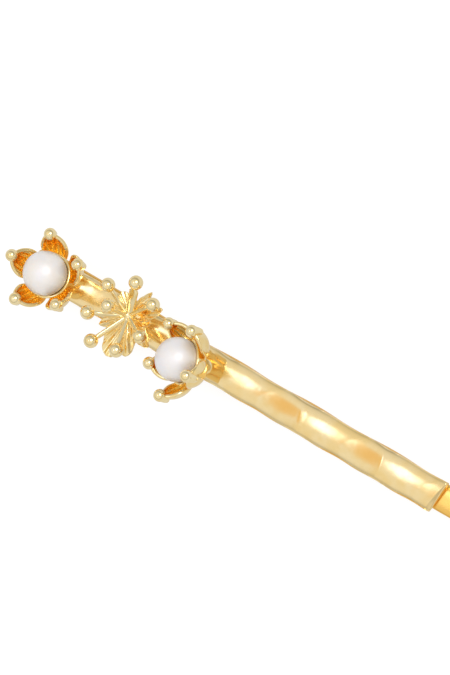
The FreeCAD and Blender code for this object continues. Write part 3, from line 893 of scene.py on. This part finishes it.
def stamenTree():
    # a wire that swells into a ball at its end
    names = ("Length", "Root radius", "Tip radius", "Ball radius", "Ridge depth", "Ridges", "Widen")
    tree, sizes = shapeTree("ballStamen", {name: starSizes[name] for name in names})
    stems, balls = starSizes["stemPoints"], starSizes["ballPoints"]
    line = tree.add("GeometryNodeMeshLine", {"Count": stems + balls + 1})
    index = tree.add("GeometryNodeInputIndex").outputs[0]
    neck = tree.minus(sizes["Length"], sizes["Ball radius"])
    share = tree.math("MINIMUM", tree.over(index, float(stems)), 1.0)
    turn = tree.times(tree.minus(index, float(stems)), math.pi / balls)
    turn = tree.math("MAXIMUM", turn, 0.0)
    rise = tree.times(sizes["Ball radius"], tree.minus(1.0, tree.math("COSINE", turn)))
    height = tree.math("MULTIPLY_ADD", share, neck, rise)
    placed = tree.add("GeometryNodeSetPosition", {
        "Geometry": line.outputs[0], "Position": tree.combine(0.0, 0.0, height)})
    wire = tree.add("GeometryNodeMeshToCurve", {"Mesh": placed.outputs[0]})
    bulb = tree.times(sizes["Ball radius"], tree.math("SINE", turn))
    slope = tree.minus(sizes["Tip radius"], sizes["Root radius"])
    stem = tree.math("MULTIPLY_ADD", share, slope, sizes["Root radius"])
    stem = tree.times(stem, tree.math("LESS_THAN", turn, math.pi / 2))
    thickness = tree.math("SMOOTH_MAX", bulb, stem, starSizes["neckBlend"])
    thickness = tree.math("MAXIMUM", thickness, 0.001)    # never quite nothing, so the end closes
    swollen = tree.add("GeometryNodeSetCurveRadius", {"Curve": wire.outputs[0], "Radius": thickness})
    ring = tree.add("GeometryNodeCurvePrimitiveCircle", {"Resolution": 48, "Radius": 1.0})
    radius = tree.add("GeometryNodeInputRadius").outputs[0]
    skin = tree.add("GeometryNodeCurveToMesh", {
        "Curve": swollen.outputs[0], "Profile Curve": ring.outputs[0], "Scale": radius, "Fill Caps": True})
    x, y, z = tree.split(tree.add("GeometryNodeInputPosition").outputs[0])
    angle = tree.math("ARCTAN2", y, x)
    fadeFrom, fadeTo = tree.minus(neck, 0.25), tree.plus(neck, 0.1)
    onStem = tree.span(z, fadeFrom, fadeTo, 1.0, 0.0, "SMOOTHSTEP")
    ridge = tree.math("COSINE", tree.times(angle, sizes["Ridges"]))
    ridge = tree.times(tree.times(ridge, sizes["Ridge depth"]), onStem)
    widen = tree.minus(sizes["Widen"], 1.0)
    widen = tree.times(widen, tree.times(x, onStem))
    outX = tree.math("MULTIPLY_ADD", tree.math("COSINE", angle), ridge, widen)
    outY = tree.times(tree.math("SINE", angle), ridge)
    shaped = tree.add("GeometryNodeSetPosition", {
        "Geometry": skin.outputs[0], "Offset": tree.combine(outX, outY, 0.0)})
    deliver(tree, shaped.outputs[0], gold["beadGold"])
    return tree


def makeStamen(number, tree):
    way, length = stamenFrame(number)
    own = starSizes["flatSizes"] if number == starSizes["flatWire"] else {}
    piece = meshObject(f"star_stamen_{number}_wire", [(0, 0, 0)], [])
    piece = grow(piece, tree, {**starSizes, "Length": float(length), **own})
    flat = unit(np.cross(upright, way))
    turn = Matrix((flat, np.cross(way, flat), way)).transposed().to_4x4()
    piece.data.transform(Matrix.Translation(Vector(hubCentre)) @ turn)
    finishPiece(piece, "front", "gold_cast", f"star_stamen_{number}", sharp=60)


def makeHub(ways):
    # a low boss with a ridge running out to each wire
    piece = ballObject("star_hub_boss", 5)
    points = pointsOf(piece)
    pull = np.max([np.exp(starSizes["ridgeTightness"] * (points @ way - 1)) for way in ways], axis=0)
    far = hubRadius * (starSizes["hubLow"] + starSizes["hubRidge"] * pull)
    placePoints(piece, hubCentre + points * far[:, None] * np.array([1, 1, starSizes["hubFlat"]]))
    piece.data.materials.append(gold["castGold"])
    finishPiece(piece, "front", "gold_cast", "star_hub", sharp=180)


def leafAxes(look):
    turn = math.radians(look["turn"])
    return np.array([math.cos(turn), math.sin(turn), 0]), np.array([-math.sin(turn), math.cos(turn), 0])


def leafLoops(look, reach, base):
    out, side = leafAxes(look)
    root, rootShare = leafSizes["root"], leafSizes["rootShare"]
    loops = []
    across = np.linspace(-1, 1, leafSizes["across"])
    for t in np.linspace(0, 1, leafSizes["rows"]):
        along = root + (reach - root) * t
        taper = (1 - t**2.2) ** (0.95 - 0.55 * look["blunt"])
        full = rootShare + (1 - rootShare) * math.sin(min(1, t / leafSizes["swell"]) * math.pi / 2)
        half = max(0.02, look["half"] * full * taper)
        lift = look["rise"] * t**1.6 + leafSizes["hump"] * math.sin(math.pi * t)
        fold = look["fold"] * math.sin(math.pi * min(1, 0.25 + 0.75 * t)) ** 0.6
        top = [(v * half, lift + fold * (0.5 - abs(v))) for v in across]
        low = [(s * 0.96, h - leafSizes["wall"]) for s, h in top[::-1]]
        loops.append(np.array([base + out * along + side * s + upright * h for s, h in top + low]))
    return loops


def makeRosette():
    # folded leaves run together by the casting, one shell
    base = np.array([hubCentre[0], hubCentre[1], nodeBox("star_rosette")[1][2] - 0.08])
    points = nodePoints("star_rosette") - base
    points[:, 2] = 0
    shells = []
    for look in leafLooks:
        out, side = leafAxes(look)
        near = np.abs(points @ side) < leafSizes["strip"]
        reach = (points @ out)[near].max()
        shells.append(loopLoft("leaf", leafLoops(look, reach, base), gold["castGold"]))
    shells.append(lathe("middle", leafSizes["disc"], base, upright, alongX, gold["castGold"], 48))
    piece = meshObject("star_rosette_leaves", [], [])
    work = bmesh.new()
    for shell in shells:
        work.from_mesh(shell.data)
        bpy.data.objects.remove(shell)
    work.to_mesh(piece.data)
    work.free()
    fuse = piece.modifiers.new("fuse", "REMESH")
    fuse.mode = "VOXEL"
    fuse.voxel_size = starSizes["grain"]
    soften = piece.modifiers.new("soften", "SMOOTH")
    soften.iterations = 3
    soften.factor = 0.5
    settle(piece)
    points = pointsOf(piece)
    out = points[:, :2] - base[:2]
    turn = np.arctan2(out[:, 1], out[:, 0])
    onTop = smooth(base[2] - 0.25, base[2] - 0.1, points[:, 2])
    share = smooth(*starSizes["veinFrom"], np.hypot(out[:, 0], out[:, 1])) * onTop
    points[:, 2] += starSizes["veinDepth"] * np.cos(starSizes["veins"] * turn) * share
    placePoints(piece, points)
    piece.data.materials.clear()
    piece.data.materials.append(gold["castGold"])
    finishPiece(piece, "front", "gold_cast", "star_rosette", sharp=180)


def makeStarFoot():
    low, high = nodeBox("star_foot")
    radius = (high[0] - low[0]) / 2
    height = high[2] - low[2]
    foot = -starSizes["post"]
    profile = [(0.005, foot), (radius * 1.25, foot), (radius * 1.16, 0.04)]
    for t in np.linspace(0.1, 1, 14):
        profile.append((radius * (0.82 + 0.3 * (1 - t) ** 2.2), height * t))
    profile.append((0.005, height))
    base = np.array([hubCentre[0], hubCentre[1], face])
    piece = lathe("star_solder_post", profile, base, upright, alongX, gold["castGold"], 96)
    finishPiece(piece, "front", "gold_cast", "star_foot")


makeStarFoot()
makeRosette()
makeHub([stamenFrame(k)[0] for k in range(1, 9)])
wires = stamenTree()
for number in range(1, 9):
    makeStamen(number, wires)
print("star made")

viewSizes = {
    "aim": (19.053, 2.881, 3.2),           # what the camera looks at, and from how far
    "away": 400.0,
    "backward": (0.375, 0.17, 0.9113),     # from there towards the camera
    "roll": 30.05,
    "lens": 241.2,
}
studioSizes = {
    "sky": 0.90,           # overhead brightness
    "horizon": 1.0,
    "band": 0.60,          # darker ring a little above the horizon, which draws the metal's form
    "dimSide": 0.25,       # how much darker the far side is
    "warmWay": (-0.495, -0.17, 0.852),     # where a warm patch hangs
    "warmReach": (10, 6),  # degrees from its middle where it starts and where it is full
    "warm": (1.0, 0.72, 0.36, 1),
    "floorShade": 0.52,    # brightness of the floor as the metal sees it, and as it is seen directly
    "floorWhite": 0.84,
    "floorTones": (0.24, 0.26),
    "floorMottle": 9.0,
    "floorReach": 4000,
    "keyTurn": 16,         # degrees between the camera and the key lamp, and the way it is moved off
    "keyWay": (0.5, 0.86),
}
lampSizes = {
    # metres away, metres across, brightness and colour
    "keyBox": dict(distance=0.8, size=0.36, radiance=6.0, colour=(1, 1, 1)),
    "topBox": dict(distance=0.5, size=0.15, radiance=1.0, colour=(0.99, 1.18, 1.77)),
}
topWay = (-0.205, -0.07, 0.976)    # the small lamp, which the hammered dents mirror


def cameraAxes():
    back = Vector(viewSizes["backward"]).normalized()
    along = (Vector((1, 0, 0)) - back * back.x).normalized()
    across = back.cross(along)
    roll = math.radians(viewSizes["roll"])
    right = math.cos(roll) * along + math.sin(roll) * across
    up = -math.sin(roll) * along + math.cos(roll) * across
    return right, up, back


def placeCamera():
    right, up, back = cameraAxes()
    camera = bpy.data.objects.new("camera", bpy.data.cameras.new("camera"))
    scene.collection.objects.link(camera)
    where = (Vector(viewSizes["aim"]) + back * viewSizes["away"]) * mm
    turn = Matrix((right, up, back)).transposed().to_4x4()
    camera.matrix_world = Matrix.Translation(where) @ turn
    camera.data.lens = viewSizes["lens"]
    camera.data.sensor_width = 36
    camera.data.clip_start = 0.01
    camera.data.clip_end = 20
    scene.camera = camera


def placeLamp(name, direction):
    look = lampSizes[name]
    lamp = bpy.data.lights.new(name, "AREA")
    lamp.shape = "DISK"
    lamp.size = look["size"]
    lamp.energy = look["radiance"] * math.pi * math.pi * (look["size"] / 2) ** 2
    lamp.color = look["colour"]
    holder = bpy.data.objects.new(name, lamp)
    scene.collection.objects.link(holder)
    way = Vector(direction).normalized()
    holder.location = Vector(viewSizes["aim"]) * mm + way * look["distance"]
    holder.rotation_euler = way.to_track_quat("Z", "Y").to_euler()


def lightStudio():
    right, up, back = cameraAxes()
    world = bpy.data.worlds.new("studio")
    scene.world = world
    world.use_nodes = True
    world.node_tree.nodes.clear()
    tree = Tree(world.node_tree)
    way = tree.add("ShaderNodeTexCoord").outputs["Generated"]
    height = tree.split(way)[2]
    low = tree.span(height, 0.0, 0.22, studioSizes["horizon"], studioSizes["band"], "SMOOTHSTEP")
    overhead = studioSizes["sky"] - studioSizes["band"]
    level = tree.plus(low, tree.span(height, 0.3, 0.75, 0.0, overhead, "SMOOTHSTEP"))
    dimmed = tree.span(tree.split(way)[1], 0.1, 0.9, 1.0, 1 - studioSizes["dimSide"])
    level = tree.times(level, dimmed)
    near = tree.dot(way, unit(studioSizes["warmWay"]).tolist())
    faint, full = (math.cos(math.radians(angle)) for angle in studioSizes["warmReach"])
    patch = tree.span(near, faint, full, 0.0, 1.0, "SMOOTHSTEP")
    tint = tree.mix(patch, (1, 1, 1, 1), studioSizes["warm"])
    shine = tree.add("ShaderNodeBackground", {"Color": tint, "Strength": level})
    tree.add("ShaderNodeOutputWorld", {"Surface": shine.outputs[0]})
    turn = math.radians(studioSizes["keyTurn"])
    sideways, upwards = studioSizes["keyWay"]
    placeLamp("keyBox", back * math.cos(turn) + (right * sideways + up * upwards) * math.sin(turn))
    placeLamp("topBox", topWay)


def makeFloor():
    material, tree, shader, place = newMaterial("paleFloor")
    mottle = noiseAt(tree, place, studioSizes["floorMottle"], 2.0)
    dark, light = ((tone, tone, tone, 1) for tone in studioSizes["floorTones"])
    tree.feed(shader.inputs["Base Color"], tree.mix(mottle, dark, light))
    setSockets(shader, {"Roughness": 0.9, "Specular IOR Level": 0.1, "Emission Color": (1, 1, 1, 1)})
    seen = tree.add("ShaderNodeLightPath").outputs["Is Camera Ray"]
    tree.feed(shader.inputs["Emission Strength"], tree.span(
        seen, 0.0, 1.0, studioSizes["floorShade"], studioSizes["floorWhite"]))
    level = nodeBox("back_leg")[0][2]
    reach = studioSizes["floorReach"]
    corners = [(reach * x, reach * y, level) for x, y in ((-1, -1), (1, -1), (1, 1), (-1, 1))]
    floor = meshObject("floor", corners, [(0, 1, 2, 3)], material)
    floor.data.transform(Matrix.Scale(mm, 4))


placeCamera()
lightStudio()
makeFloor()
scene.view_settings.view_transform = "Standard"
scene.cycles.max_bounces = 16    # enough for light to find its way out of the hollow petals
scene.cycles.glossy_bounces = 14
print("studio set")
